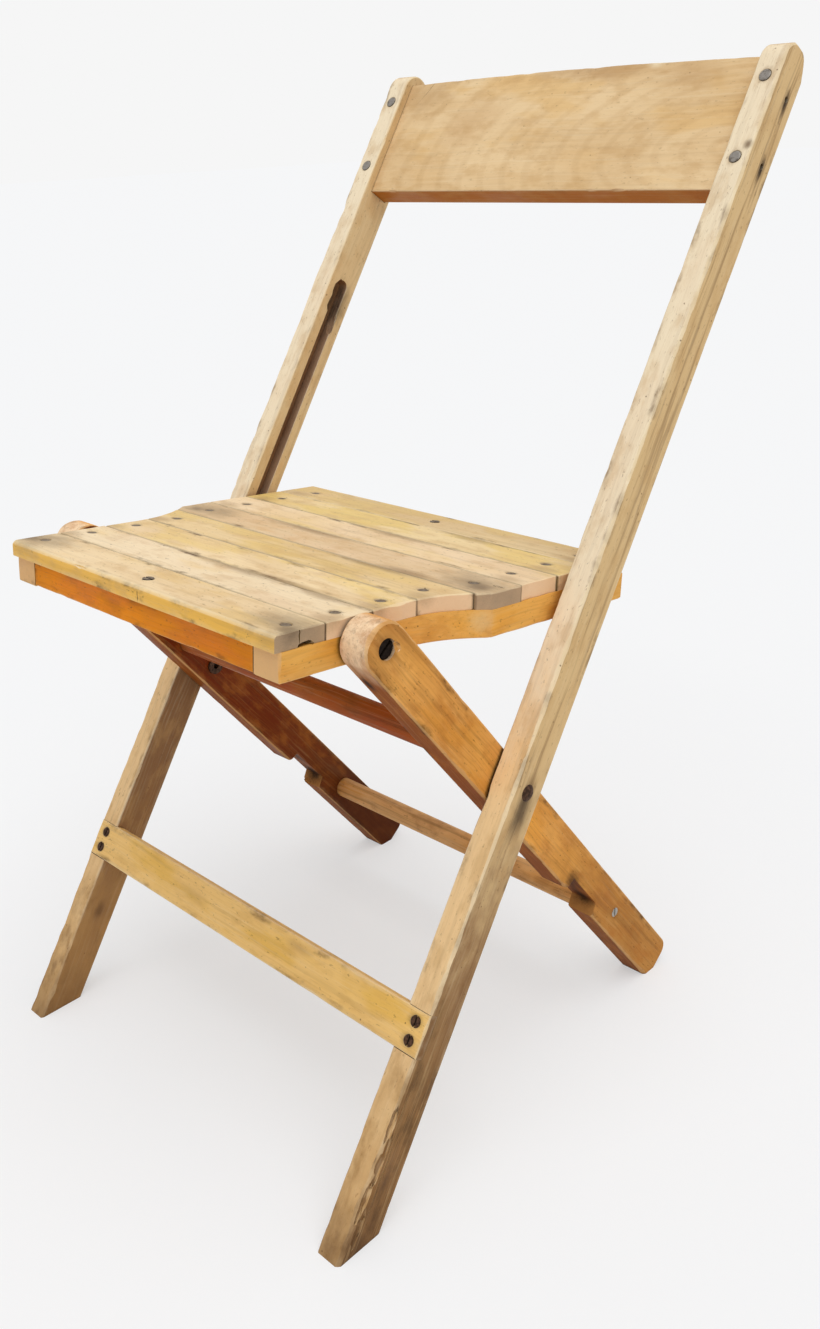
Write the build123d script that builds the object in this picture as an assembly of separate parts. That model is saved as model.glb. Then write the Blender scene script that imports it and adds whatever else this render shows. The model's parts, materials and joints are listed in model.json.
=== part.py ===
from build123d import *
import os
from math import asin, atan2, cos, degrees, hypot, radians, sin, tan

# Folding chair in slatted hardwood. X runs across the chair, Y from front to rear, Z up from the floor.
# Left and right are as seen from the front. Lengths are in millimetres, angles in degrees.

# Posts: one straight pair from the front feet to the top of the back
frame_width = 400.0
post_thickness = 21.0
post_depth = 33.0
post_length = 914.0
post_lean = 33.8
post_arris = 1.6

# Back panel, housed in both posts
panel_height = 107.5
panel_thickness = 20.0
panel_set_back = 8.0
panel_low_edge = 795.0
panel_tongue = 9.0
panel_crown = 3.0
panel_front_arris = 1.5
panel_rear_arris = 2.0
rivet_head = 9.0
rivet_head_height = 0.8
rivet_shank = 4.6
rivet_edge_distance = 21.5
panel_nail_head = 4.4
panel_nail_head_height = 1.4
panel_nail_shank = 2.8
panel_nail_length = 38.0
panel_nail_sink = 2.4
panel_nail_set_back = 21.0
panel_nail_low_distance = 26.0
panel_nail_top_distance = 28.0

# Front stretcher, let flush into the posts' front faces
stretcher_low_edge = 146.0
stretcher_width = 31.0
stretcher_thickness = 7.5
stretcher_screw_spacing = 13.6
stretcher_arris = 1.2

# Rear legs, crossing the posts on the leg pivot
leg_gap = 1.5
leg_thickness = 24.0
leg_width = 36.0
leg_angle = 37.8
leg_pivot_up = 340.0
leg_foot_flat = 16.0
leg_heel_radius = 10.0
leg_arris = 1.4
notch_top_gap = 14.0
notch_low_gap = 2.0
notch_depth_gap = 1.6
notch_lug_slope = 2.0
notch_lip_slope = 5.0
notch_lug_radius = 5.0
upper_dowel_up = 39.5
lower_dowel_down = 231.0
dowel_diameter = 19.0
dowel_socket_depth = 13.0
dowel_end_gap = 0.2

# Leg pivot rivet, through post and leg
pivot_shank = 8.0
pivot_head = 12.5
pivot_head_height = 2.6
pivot_ring = 15.0
pivot_ring_thickness = 1.8
pivot_ring_bore = 5.5
pivot_bore_depth = 12.0
spacer_diameter = 22.0

# Seat, hung on the seat pivot at the top of each leg
seat_pivot_reach = 174.0
pivot_slat_count = 2
seat_pivot_drop = 16.4
seat_tilt = 6.0
seat_gap = 2.0
seat_side_gap = 4.5
slat_count = 8
slat_pitch = 40.0
slat_joint = 0.7
slat_thickness = 11.5
slat_arris = 0.8
nosing_radius = 3.5
rail_depth = 20.0
rail_front_width = 24.0
rail_set_back = 3.5
rail_arris = 1.0
flare_start = 108.0
flare_length = 62.0
cross_rail_width = 26.0
cross_rail_depth = 19.0
bolt_shank = 8.0
bolt_head = 13.0
bolt_head_height = 4.5
bolt_recess_play = 0.75
bolt_recess_depth = 6.5
bolt_grip = 19.0
bolt_slot_width = 2.0
bolt_slot_depth = 1.4
bolt_to_nail_gap = 1.5

# Slide pins on the seat rails, running in grooves in the posts
pin_diameter = 6.4
pin_drop = 25.0
pin_seat_depth = 22.0
pin_rest_offset = 2.2
pin_side_play = 2.8
groove_depth = 10.0
groove_top_margin = 5.0
pin_end_gap = 1.0

# Nails and screws
nail_head = 7.0
nail_head_height = 1.2
nail_shank = 3.2
nail_length = 28.0
nail_front_inset = 13.5
nail_rear_inset = 26.5
screw_head = 8.0
screw_shank = 4.4
screw_length = 26.0
dowel_screw_length = 34.0
screw_slot_width = 1.1
screw_slot_depth = 0.9

# Clearances
shank_gap = 0.05
housing_gap = 0.1
face_gap = 0.1

# Places across the chair
post_outer = frame_width / 2
post_inner = post_outer - post_thickness
post_middle = post_outer - post_thickness / 2
leg_outer = post_inner - leg_gap
leg_inner = leg_outer - leg_thickness
seat_front_half = leg_inner - seat_gap
seat_rear_half = post_inner - seat_side_gap
rail_inner = seat_front_half - rail_front_width

# The posts' side view: "up" runs along the post from its front foot corner, "back" from its front face
lean = radians(post_lean)
tip_radius = post_depth / 2
tip_centre_up = post_length - tip_radius
overall_depth = tip_centre_up * sin(lean) + tip_radius * cos(lean) + tip_radius
post_plane = Plane(
    origin=(0, -overall_depth / 2, 0), x_dir=(0, cos(lean), -sin(lean)), z_dir=(1, 0, 0)
)
leg_pivot_back = post_depth / 2
groove_width = pin_diameter + 2 * pin_side_play
panel_middle = panel_set_back + panel_thickness / 2

# The legs' side view: origin on the leg pivot, y up the leg, x towards the rear
slope = radians(leg_angle)
leg_pivot = post_plane.from_local_coords((leg_pivot_back, leg_pivot_up, 0))
leg_plane = Plane(origin=leg_pivot, x_dir=(0, cos(slope), sin(slope)), z_dir=(1, 0, 0))
leg_toe_reach = (leg_pivot.Z - leg_width / 2 * sin(slope)) / cos(slope)
leg_foot_reach = leg_toe_reach + leg_foot_flat * sin(slope)

# The seat's plan: origin at the middle of its top front edge, y towards the rear, z out of its top
tilt = radians(seat_tilt)
seat_pivot = leg_plane.from_local_coords((0, seat_pivot_reach, 0))
pivot_nail_back = (pivot_slat_count - 0.5) * slat_pitch
seat_pivot_back = pivot_nail_back + (nail_shank + bolt_shank) / 2 + bolt_to_nail_gap
seat_rearward = Vector(0, cos(tilt), -sin(tilt))
seat_upward = Vector(0, sin(tilt), cos(tilt))
seat_front_edge = seat_pivot - seat_rearward * seat_pivot_back + seat_upward * seat_pivot_drop
seat_plane = Plane(origin=seat_front_edge, x_dir=(1, 0, 0), z_dir=seat_upward)
seat_length = slat_count * slat_pitch

# Folding: the legs turn until they lie along the posts, and the slide pins climb the grooves meanwhile
fold_angle = post_lean + leg_angle
pivot_at_rest = post_plane.to_local_coords(seat_pivot)
rearward_from_post = radians(90 + seat_tilt - post_lean)
pin_below_pivot = pin_drop - seat_pivot_drop
pin_run = leg_pivot_back + pin_rest_offset - pivot_at_rest.X - pin_below_pivot * cos(rearward_from_post)
pin_back = seat_pivot_back + pin_run / sin(rearward_from_post)
pin_centre = seat_plane.from_local_coords((0, pin_back, -pin_drop))
pin_at_rest = post_plane.to_local_coords(pin_centre)
pin_reach = hypot(pin_back - seat_pivot_back, pin_below_pivot)
pin_angle_at_rest = degrees(atan2(pin_at_rest.X - pivot_at_rest.X, pin_at_rest.Y - pivot_at_rest.Y))
pin_angle_folded = degrees(asin(pin_rest_offset / pin_reach))
pin_up_folded = leg_pivot_up + seat_pivot_reach + pin_reach * cos(radians(pin_angle_folded))
seat_turn = fold_angle + pin_angle_at_rest - pin_angle_folded


def mirrored(shape):
    return mirror(shape, about=Plane.YZ)


def bar(plane, outline, start, end):
    return extrude(plane.offset(start) * outline, end - start)


def cross_pin(plane, x, y, start, end, diameter):
    return bar(plane, Pos(x, y) * Circle(diameter / 2), start, end)


def facing(origin, direction):
    return Plane(origin=origin, z_dir=direction)


def flat_headed(head, head_height, shank, length):
    # Head flush with z = 0, shank pointing down.
    body = Pos(0, 0, -length / 2) * Cylinder(shank / 2, length)
    return body + Pos(0, 0, -head_height / 2) * Cylinder(head / 2, head_height)


def countersunk(head, shank, length):
    cone_height = (head - shank) / 2
    body = Pos(0, 0, -length / 2) * Cylinder(shank / 2, length)
    return body + Pos(0, 0, -cone_height / 2) * Cone(shank / 2, head / 2, cone_height)


def slotted_screw(length):
    slot = Box(screw_head, screw_slot_width, 2 * screw_slot_depth)
    return countersunk(screw_head, screw_shank, length) - slot


def screw_hole(length):
    return countersunk(screw_head + 2 * shank_gap, screw_shank + 2 * shank_gap, length + shank_gap)


def slat_nail():
    return flat_headed(nail_head, nail_head_height, nail_shank, nail_length)


def slat_nail_hole():
    return flat_headed(
        nail_head + 2 * shank_gap,
        nail_head_height + shank_gap,
        nail_shank + 2 * shank_gap,
        nail_length + shank_gap,
    )


def post_front(up, x):
    # A place on a post's front face, looking out to the front.
    return facing(post_plane.from_local_coords((0, up, x)), -post_plane.x_dir)


# Rivets, nails and screws of the right-hand post; those of the left-hand one mirror them
def rivet_ups():
    return panel_low_edge + rivet_edge_distance, panel_low_edge + panel_height - rivet_edge_distance


def panel_nail_ups():
    return (
        panel_low_edge + panel_nail_low_distance,
        panel_low_edge + panel_height - panel_nail_top_distance,
    )


def panel_rivet(up):
    shank = post_front(up, post_middle) * Pos(0, 0, -post_depth / 2) * Cylinder(rivet_shank / 2, post_depth)
    head = post_front(up, post_middle) * Pos(0, 0, rivet_head_height / 2)
    tail = post_front(up, post_middle) * Pos(0, 0, -post_depth - rivet_head_height / 2)
    disc = Cylinder(rivet_head / 2, rivet_head_height)
    return shank + head * disc + tail * disc


def panel_rivet_hole(up):
    bore = Cylinder(rivet_shank / 2 + shank_gap, 2 * post_depth)
    return post_front(up, post_middle) * Pos(0, 0, -post_depth / 2) * bore


def panel_nail_place(up):
    return facing(post_plane.from_local_coords((panel_nail_set_back, up, post_outer)), (1, 0, 0))


def panel_nail(up):
    nail = flat_headed(panel_nail_head, panel_nail_head_height, panel_nail_shank, panel_nail_length)
    return panel_nail_place(up) * Pos(0, 0, -panel_nail_sink) * nail


def panel_nail_hole(up):
    shank = flat_headed(
        panel_nail_head + 2 * shank_gap,
        panel_nail_sink + panel_nail_head_height + shank_gap,
        panel_nail_shank + 2 * shank_gap,
        panel_nail_sink + panel_nail_length + shank_gap,
    )
    return panel_nail_place(up) * shank


def stretcher_screw_places():
    middle = stretcher_low_edge + stretcher_width / 2
    ups = (middle - stretcher_screw_spacing / 2, middle + stretcher_screw_spacing / 2)
    return [post_front(up, post_middle) for up in ups]


def make_post():
    foot_rise = post_depth * tan(lean)
    outline = Polygon(
        (0, 0), (post_depth, foot_rise), (post_depth, tip_centre_up), (0, tip_centre_up), align=None
    )
    outline += Pos(tip_radius, tip_centre_up) * Circle(tip_radius)
    post = bar(post_plane, outline, post_inner, post_outer)
    side_edges = [edge for side in (0, -1) for edge in post.faces().sort_by(Axis.X)[side].edges()]
    post = fillet([edge for edge in side_edges if edge.bounding_box().max.Z > post_arris], post_arris)

    groove = Pos(leg_pivot_back, pin_at_rest.Y) * Circle(groove_width / 2)
    groove_top = pin_up_folded + groove_top_margin
    groove += Pos(leg_pivot_back, groove_top) * Circle(groove_width / 2)
    groove += Pos(leg_pivot_back, (pin_at_rest.Y + groove_top) / 2) * Rectangle(
        groove_width, groove_top - pin_at_rest.Y
    )
    post -= bar(post_plane, groove, post_inner, post_inner + groove_depth)

    housing = Pos(panel_middle, panel_low_edge + panel_height / 2) * Rectangle(
        panel_thickness + 2 * housing_gap, panel_height + 2 * housing_gap
    )
    post -= bar(post_plane, housing, post_inner, post_inner + panel_tongue + housing_gap)

    seat_for_stretcher = Pos(0, stretcher_low_edge + stretcher_width / 2) * Rectangle(
        2 * (stretcher_thickness + housing_gap), stretcher_width + 2 * housing_gap
    )
    post -= bar(post_plane, seat_for_stretcher, post_inner, post_outer)

    post -= cross_pin(
        post_plane, leg_pivot_back, leg_pivot_up, post_inner, post_outer, pivot_shank + 2 * shank_gap
    )
    for up in rivet_ups():
        post -= panel_rivet_hole(up)
    for up in panel_nail_ups():
        post -= panel_nail_hole(up)
    for place in stretcher_screw_places():
        post -= place * screw_hole(screw_length)
    return post


def low_long_edges(panel):
    # The edges of the panel's low face across the chair, the front one first.
    low_face = panel.faces().sort_by(post_plane.location.y_axis)[0]
    return low_face.edges().filter_by(Axis.X).sort_by(Axis.Y)


def make_back_panel():
    half_span = post_inner + panel_tongue
    low = panel_low_edge
    high = panel_low_edge + panel_height
    outline = Polyline((post_inner, high), (half_span, high), (half_span, low), (-half_span, low))
    outline += Polyline((-half_span, low), (-half_span, high), (-post_inner, high))
    outline += ThreePointArc((-post_inner, high), (0, high + panel_crown), (post_inner, high))
    front = Plane(
        origin=post_plane.from_local_coords((panel_set_back, 0, 0)),
        x_dir=(1, 0, 0),
        z_dir=-post_plane.x_dir,
    )
    panel = extrude(front * make_face(outline), -panel_thickness)
    panel = fillet(low_long_edges(panel)[:1], panel_front_arris)
    panel = fillet(low_long_edges(panel)[-1:], panel_rear_arris)
    for up in rivet_ups():
        hole = panel_rivet_hole(up)
        panel -= [hole, mirrored(hole)]
    for up in panel_nail_ups():
        hole = panel_nail_hole(up)
        panel -= [hole, mirrored(hole)]
    return panel


def make_stretcher():
    outline = Pos(stretcher_thickness / 2, stretcher_low_edge + stretcher_width / 2) * Rectangle(
        stretcher_thickness, stretcher_width
    )
    stretcher = bar(post_plane, outline, -post_outer, post_outer)
    front_edges = stretcher.edges().filter_by(Axis.X).sort_by(post_plane.location.x_axis)[:2]
    stretcher = fillet(front_edges, stretcher_arris)
    for place in stretcher_screw_places():
        hole = place * screw_hole(screw_length)
        stretcher -= [hole, mirrored(hole)]
    return stretcher


def make_leg_pivot():
    tail = leg_inner - face_gap - pivot_ring_thickness
    rivet = cross_pin(leg_plane, 0, 0, tail, post_outer, pivot_shank)
    dome_radius = ((pivot_head / 2) ** 2 + pivot_head_height**2) / (2 * pivot_head_height)
    dome = leg_plane * Pos(0, 0, post_outer + pivot_head_height - dome_radius) * Sphere(dome_radius)
    rivet += dome & cross_pin(leg_plane, 0, 0, post_outer, post_outer + pivot_head_height, pivot_head)
    rivet += cross_pin(leg_plane, 0, 0, tail, tail + pivot_ring_thickness, pivot_ring)
    return rivet - cross_pin(leg_plane, 0, 0, tail, tail + pivot_bore_depth, pivot_ring_bore)


def make_spacer(plane, y, start, end, bore):
    disc = Pos(0, y) * Circle(spacer_diameter / 2) - Pos(0, y) * Circle(bore / 2 + shank_gap)
    return bar(plane, disc, start, end)


def make_leg():
    half = leg_width / 2
    outline = Pos(0, (seat_pivot_reach - leg_foot_reach) / 2) * Rectangle(
        leg_width, seat_pivot_reach + leg_foot_reach
    )
    outline += Pos(0, seat_pivot_reach) * Circle(half)
    notch_top = -(leg_pivot_up - stretcher_low_edge - stretcher_width - notch_top_gap)
    notch_low = -(leg_pivot_up - stretcher_low_edge + notch_low_gap)
    notch_floor = -(leg_pivot_back - stretcher_thickness - notch_depth_gap)
    outline -= Polygon(
        (-half, notch_top + notch_lug_slope),
        (notch_floor, notch_top),
        (notch_floor, notch_low),
        (-half, notch_low - notch_lip_slope),
        align=None,
    )
    lug = outline.vertices().sort_by_distance((-half, notch_top + notch_lug_slope))[0]
    outline = fillet(lug, notch_lug_radius)
    heel = outline.vertices().sort_by_distance((half, -leg_foot_reach))[0]
    outline = fillet(heel, leg_heel_radius)
    leg = bar(leg_plane, outline, leg_inner, leg_outer)
    side_edges = [edge for side in (0, -1) for edge in leg.faces().sort_by(Axis.X)[side].edges()]
    notch_length = notch_top - notch_low
    leg = fillet([edge for edge in side_edges if edge.length > notch_length + leg_arris], leg_arris)
    leg = split(leg, bisect_by=Plane.XY, keep=Keep.TOP)

    leg -= cross_pin(leg_plane, 0, 0, leg_inner, leg_outer, pivot_shank + 2 * shank_gap)
    leg -= cross_pin(leg_plane, 0, seat_pivot_reach, leg_inner, leg_outer, bolt_shank + 2 * shank_gap)
    leg -= cross_pin(
        leg_plane,
        0,
        seat_pivot_reach,
        leg_outer - bolt_recess_depth,
        leg_outer,
        bolt_head + 2 * bolt_recess_play,
    )
    for place in (upper_dowel_up, -lower_dowel_down):
        leg -= cross_pin(
            leg_plane, 0, place, leg_inner, leg_inner + dowel_socket_depth, dowel_diameter + 2 * shank_gap
        )
    return leg - dowel_screw_place() * screw_hole(dowel_screw_length)


def make_dowel(up):
    end = leg_inner + dowel_socket_depth - dowel_end_gap
    return cross_pin(leg_plane, 0, up, -end, end, dowel_diameter)


def make_lower_dowel():
    hole = dowel_screw_place() * screw_hole(dowel_screw_length)
    return make_dowel(-lower_dowel_down) - [hole, mirrored(hole)]


def dowel_screw_place():
    return facing(leg_plane.from_local_coords((0, -lower_dowel_down, leg_outer)), (1, 0, 0))


def make_seat_pivot_bolt():
    # Driven through the leg into the rail, its head sunk in the leg's recess.
    head_seat = leg_outer - bolt_recess_depth + face_gap
    head_top = head_seat + bolt_head_height
    bolt = cross_pin(leg_plane, 0, seat_pivot_reach, seat_front_half - bolt_grip, head_top, bolt_shank)
    bolt += cross_pin(leg_plane, 0, seat_pivot_reach, head_seat, head_top, bolt_head)
    slot = Box(bolt_head, bolt_slot_width, 2 * bolt_slot_depth)
    return bolt - leg_plane * Pos(0, seat_pivot_reach, head_top) * slot


def seat_outline():
    # Narrow in front, where the legs lie beside it, then sawn out in a hollow curve to its full width.
    flare = seat_rear_half - seat_front_half
    flare_radius = (flare**2 + flare_length**2) / (2 * flare)
    sweep = asin(flare_length / flare_radius) / 2
    middle = (
        seat_front_half + flare_radius * (1 - cos(sweep)),
        flare_start + flare_radius * sin(sweep),
    )
    corner = (seat_rear_half, flare_start + flare_length)
    half = Polyline((0, seat_length), (0, 0), (seat_front_half, 0), (seat_front_half, flare_start))
    half += ThreePointArc((seat_front_half, flare_start), middle, corner)
    half += Polyline(corner, (seat_rear_half, seat_length), (0, seat_length))
    right = make_face(half)
    return right + mirror(right, about=Plane.YZ)


def strip(low_x, high_x, low_y, high_y):
    middle = Pos((low_x + high_x) / 2, (low_y + high_y) / 2)
    return middle * Rectangle(high_x - low_x, high_y - low_y)


def nail_places():
    # One nail through each end of each slat, further out where the rails are wide.
    places = []
    for number in range(slat_count):
        back = (number + 0.5) * slat_pitch
        if back < flare_start + flare_length:
            places.append((seat_front_half - nail_front_inset, back))
        else:
            places.append((seat_rear_half - nail_rear_inset, back))
    return places


def front_rail_back():
    return rail_set_back + cross_rail_width / 2


def rear_rail_back():
    return seat_length - slat_pitch / 2


def on_seat(x, back):
    return seat_plane * Pos(x, back, 0)


def nail_holes(side):
    return [on_seat(side * x, back) * slat_nail_hole() for x, back in nail_places()]


def centre_screw_holes():
    return [on_seat(0, back) * screw_hole(screw_length) for back in (front_rail_back(), rear_rail_back())]


def long_top_edges(slat):
    # The top's edges across the seat, the front one first.
    top = slat.faces().sort_by(seat_plane.location.z_axis)[-1]
    return top.edges().filter_by(Axis.X).sort_by(Axis.Y)


def make_slat(number):
    low = number * slat_pitch + (slat_joint / 2 if number else 0)
    high = (number + 1) * slat_pitch - (slat_joint / 2 if number < slat_count - 1 else 0)
    outline = seat_outline() & strip(-seat_rear_half, seat_rear_half, low, high)
    slat = extrude(seat_plane * outline, -slat_thickness)
    slat = fillet(long_top_edges(slat)[:1], slat_arris if number else nosing_radius)
    slat = fillet(long_top_edges(slat)[-1:], slat_arris)
    for hole in nail_holes(1) + nail_holes(-1) + centre_screw_holes():
        slat -= hole
    return slat


def make_seat_rail():
    outline = seat_outline() & strip(rail_inner, seat_rear_half, rail_set_back, seat_length)
    rail = extrude(seat_plane.offset(-slat_thickness) * outline, -rail_depth)
    low_edges = rail.faces().sort_by(seat_plane.location.z_axis)[0].edges()
    rail = chamfer(low_edges, rail_arris)
    bolt_end = seat_front_half - bolt_grip - shank_gap
    rail -= cross_pin(leg_plane, 0, seat_pivot_reach, bolt_end, seat_front_half, bolt_shank + 2 * shank_gap)
    pin_socket = Pos(0, 0, seat_rear_half - pin_seat_depth / 2)
    rail -= slide_pin_plane() * pin_socket * Cylinder(pin_diameter / 2 + shank_gap, pin_seat_depth)
    for hole in nail_holes(1):
        rail -= hole
    return rail


def slide_pin_plane():
    return Plane(origin=pin_centre, x_dir=(0, 1, 0), z_dir=(1, 0, 0))


def make_slide_pin():
    start = seat_rear_half - pin_seat_depth + shank_gap
    end = post_inner + groove_depth - pin_end_gap
    pin = bar(slide_pin_plane(), Circle(pin_diameter / 2), start, end)
    return chamfer(pin.edges().sort_by(Axis.X)[-1:], pin_end_gap / 2)


def make_cross_rail(middle):
    half_length = rail_inner - housing_gap
    half_width = cross_rail_width / 2
    outline = strip(-half_length, half_length, middle - half_width, middle + half_width)
    rail = extrude(seat_plane.offset(-slat_thickness) * outline, -cross_rail_depth)
    for hole in centre_screw_holes():
        rail -= hole
    return rail


parts = {}
both_sides = {
    "post": make_post(),
    "leg_pivot_rivet": make_leg_pivot(),
    "leg_spacer": make_spacer(leg_plane, 0, leg_outer + face_gap, post_inner, pivot_shank),
    "rear_leg": make_leg(),
    "seat_pivot_bolt": make_seat_pivot_bolt(),
    "seat_pivot_spacer": make_spacer(
        leg_plane, seat_pivot_reach, seat_front_half + face_gap, leg_inner, bolt_shank
    ),
    "seat_rail": make_seat_rail(),
    "slide_pin": make_slide_pin(),
}
for name, shape in both_sides.items():
    parts[name + "_right"] = shape
    parts[name + "_left"] = mirrored(shape)

parts["back_panel"] = make_back_panel()
parts["front_stretcher"] = make_stretcher()
parts["upper_leg_dowel"] = make_dowel(upper_dowel_up)
parts["lower_leg_dowel"] = make_lower_dowel()
parts["seat_front_rail"] = make_cross_rail(front_rail_back())
parts["seat_rear_rail"] = make_cross_rail(rear_rail_back())
for number in range(slat_count):
    parts["seat_slat_%d" % (number + 1)] = make_slat(number)

fasteners = {
    "back_panel_rivets": [panel_rivet(up) for up in rivet_ups()],
    "back_panel_nails": [panel_nail(up) for up in panel_nail_ups()],
    "stretcher_screws": [place * slotted_screw(screw_length) for place in stretcher_screw_places()],
    "dowel_screws": [dowel_screw_place() * slotted_screw(dowel_screw_length)],
    "slat_nails": [on_seat(x, back) * slat_nail() for x, back in nail_places()],
}
for name, right_side in fasteners.items():
    parts[name] = Compound(right_side + [mirrored(shape) for shape in right_side])
parts["slat_centre_screws"] = Compound(
    [on_seat(0, back) * slotted_screw(screw_length) for back in (front_rail_back(), rear_rail_back())]
)

os.makedirs("parts", exist_ok=True)
for name, shape in parts.items():
    export_step(shape, "parts/%s.step" % name)

print("overall depth %.2f, leg pivot %s, seat pivot %s" % (overall_depth, leg_pivot, seat_pivot))
print("slide pin %s, groove %.1f to %.1f" % (pin_centre, pin_at_rest.Y, pin_up_folded + groove_top_margin))
print("leg fold %.3f degrees, seat turn %.3f degrees" % (fold_angle, seat_turn))
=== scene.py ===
import bpy
import bmesh
import json
from functools import partial
from math import asin, cos, pi, radians, sin
from mathutils import Matrix, Vector, noise


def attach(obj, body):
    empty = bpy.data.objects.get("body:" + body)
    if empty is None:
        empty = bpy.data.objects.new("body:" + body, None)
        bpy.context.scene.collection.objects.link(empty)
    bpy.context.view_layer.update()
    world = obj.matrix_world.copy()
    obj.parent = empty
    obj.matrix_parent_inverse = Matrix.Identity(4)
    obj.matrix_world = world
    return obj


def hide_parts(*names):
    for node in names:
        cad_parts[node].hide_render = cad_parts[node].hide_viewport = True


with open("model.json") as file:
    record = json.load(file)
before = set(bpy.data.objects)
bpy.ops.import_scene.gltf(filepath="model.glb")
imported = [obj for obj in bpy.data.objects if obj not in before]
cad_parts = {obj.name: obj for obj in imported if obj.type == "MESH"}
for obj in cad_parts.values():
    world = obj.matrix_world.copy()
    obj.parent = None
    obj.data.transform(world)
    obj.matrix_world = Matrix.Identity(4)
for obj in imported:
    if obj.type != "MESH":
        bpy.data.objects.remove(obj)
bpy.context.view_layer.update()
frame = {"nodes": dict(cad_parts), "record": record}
nodes = frame["nodes"]
scene = bpy.context.scene
mm = 0.001
bodyOf = {node: body for body, names in frame["record"]["behaviour"]["bodies"].items() for node in names}
shown = dict(nodes)  # what stands for each node, once carved
print("frame loaded,", len(nodes), "nodes")

# The chair's own sizes, as the solids have them: posts and legs in side view, then the seat
chair = {
    "lean": radians(33.8), "slope": radians(37.8), "tilt": radians(6), "depth": 529.487,
    "postLength": 914, "postDepth": 33, "postOuter": 200, "postInner": 179,
    "legWidth": 36, "legOuter": 177.5, "legInner": 153.5,
    "pivotUp": 340, "pivotReach": 174,
    "seatBack": 67.1, "seatDrop": 16.4, "seatLength": 320, "slatPitch": 40,
    "seatFrontHalf": 151.5, "seatRearHalf": 174.5, "flareStart": 108, "flareLength": 62,
    "railLow": 31.5, "railSetBack": 3.5,
}
acrossChair = Vector((1, 0, 0))
upPost = Vector((0, sin(chair["lean"]), cos(chair["lean"])))
backPost = Vector((0, cos(chair["lean"]), -sin(chair["lean"])))
upLeg = Vector((0, -sin(chair["slope"]), cos(chair["slope"])))
backLeg = Vector((0, cos(chair["slope"]), sin(chair["slope"])))
backSeat = Vector((0, cos(chair["tilt"]), -sin(chair["tilt"])))
upSeat = Vector((0, sin(chair["tilt"]), cos(chair["tilt"])))
postAxes = (upPost, backPost, acrossChair)
legAxes = (upLeg, backLeg, acrossChair)
seatAxes = (acrossChair, backSeat, upSeat)
footCorner = Vector((0, -chair["depth"] / 2, 0))
legPivot = footCorner + upPost * chair["pivotUp"] + backPost * chair["postDepth"] / 2
seatPivot = legPivot + upLeg * chair["pivotReach"]
seatFront = seatPivot - backSeat * chair["seatBack"] + upSeat * chair["seatDrop"]
postMiddle = (chair["postOuter"] + chair["postInner"]) / 2
legMiddle = (chair["legOuter"] + chair["legInner"]) / 2
sides = (("left", -1), ("right", 1))
proud = 3  # how far a cutting tool stands clear of the wood
footRun = 150  # height over which the heavier wear of a foot fades out


def onPost(up, back, x):
    return footCorner + upPost * up + backPost * back + acrossChair * x


def onLeg(up, back, x):
    return legPivot + upLeg * up + backLeg * back + acrossChair * x


def onSeat(x, back, up):
    return seatFront + acrossChair * x + backSeat * back + upSeat * up


# Half width of the seat at a place along it, and how far its side leans back there
def seatSide(back):
    flare = chair["seatRearHalf"] - chair["seatFrontHalf"]
    radius = (flare ** 2 + chair["flareLength"] ** 2) / (2 * flare)
    past = back - chair["flareStart"]
    if past <= 0:
        return chair["seatFrontHalf"], 0
    if past >= chair["flareLength"]:
        return chair["seatRearHalf"], 0
    lean = asin(past / radius)
    return chair["seatFrontHalf"] + radius * (1 - cos(lean)), lean


# One mesh from closed rods, each a list of rings of points in millimetres
def rods(name, bundle):
    shape = bmesh.new()
    for rings in bundle:
        loops = [[shape.verts.new(point * mm) for point in ring] for ring in rings]
        for low, high in zip(loops, loops[1:]):
            for i in range(len(low)):
                shape.faces.new((low[i - 1], low[i], high[i], high[i - 1]))
        shape.faces.new(loops[0])
        shape.faces.new(loops[-1])
    bmesh.ops.recalc_face_normals(shape, faces=shape.faces)
    mesh = bpy.data.meshes.new(name)
    shape.to_mesh(mesh)
    shape.free()
    return bpy.data.objects.new(name, mesh)


# Rings of a turned shape: height along the axis and radius at each step
def turned(at, axis, profile, sides=28):
    across = axis.orthogonal().normalized()
    other = axis.cross(across)
    angles = [2 * pi * side / sides for side in range(sides)]
    return [[at + axis * height + (across * cos(a) + other * sin(a)) * radius for a in angles]
            for height, radius in profile]


def evenly(start, end, step=4):
    count = max(2, round(abs(end - start) / step))
    return [start + (end - start) * i / count for i in range(count + 1)]


# How the wear varies along an arris: the length of each wave and its own row of the noise
wearWaves = {"slow": (60, 0.3), "quick": (11, 7.3), "knock": (17, 19.7), "slip": (14, 31.1)}


# A sliver that planes an arris off unevenly, as decades of knocks do. Each station is a point on
# the sharp arris, the two faces that meet there and how far the wear runs into them
def rubbedArris(stations, seed, rough=1):
    rings = []
    run = 0
    before = stations[0][0]
    for at, faceA, faceB, wear in stations:
        run += (at - before).length
        before = at
        wave = {}
        for kind, (length, row) in wearWaves.items():
            wave[kind] = noise.noise(Vector((run / length, seed, row)))
        knock = max(0, wave["knock"] - 0.25)  # only the higher swells knock a piece off
        intoA = wear * max(0.1, 1 + rough * (0.6 * wave["slow"] + 0.4 * wave["quick"] + 2.2 * knock))
        intoB = intoA * (1 + 0.6 * rough * wave["slip"])
        onA = at - faceB * intoA
        onB = at - faceA * intoB
        slant = (onA - onB).normalized()
        crown = (onA + onB) / 2 + (faceA + faceB).normalized() * 0.12 * (onA - onB).length
        rings.append([onB - slant * proud, crown, onA + slant * proud, at + (faceA + faceB) * proud])
    return rods("arrisTool", [rings])


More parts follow.
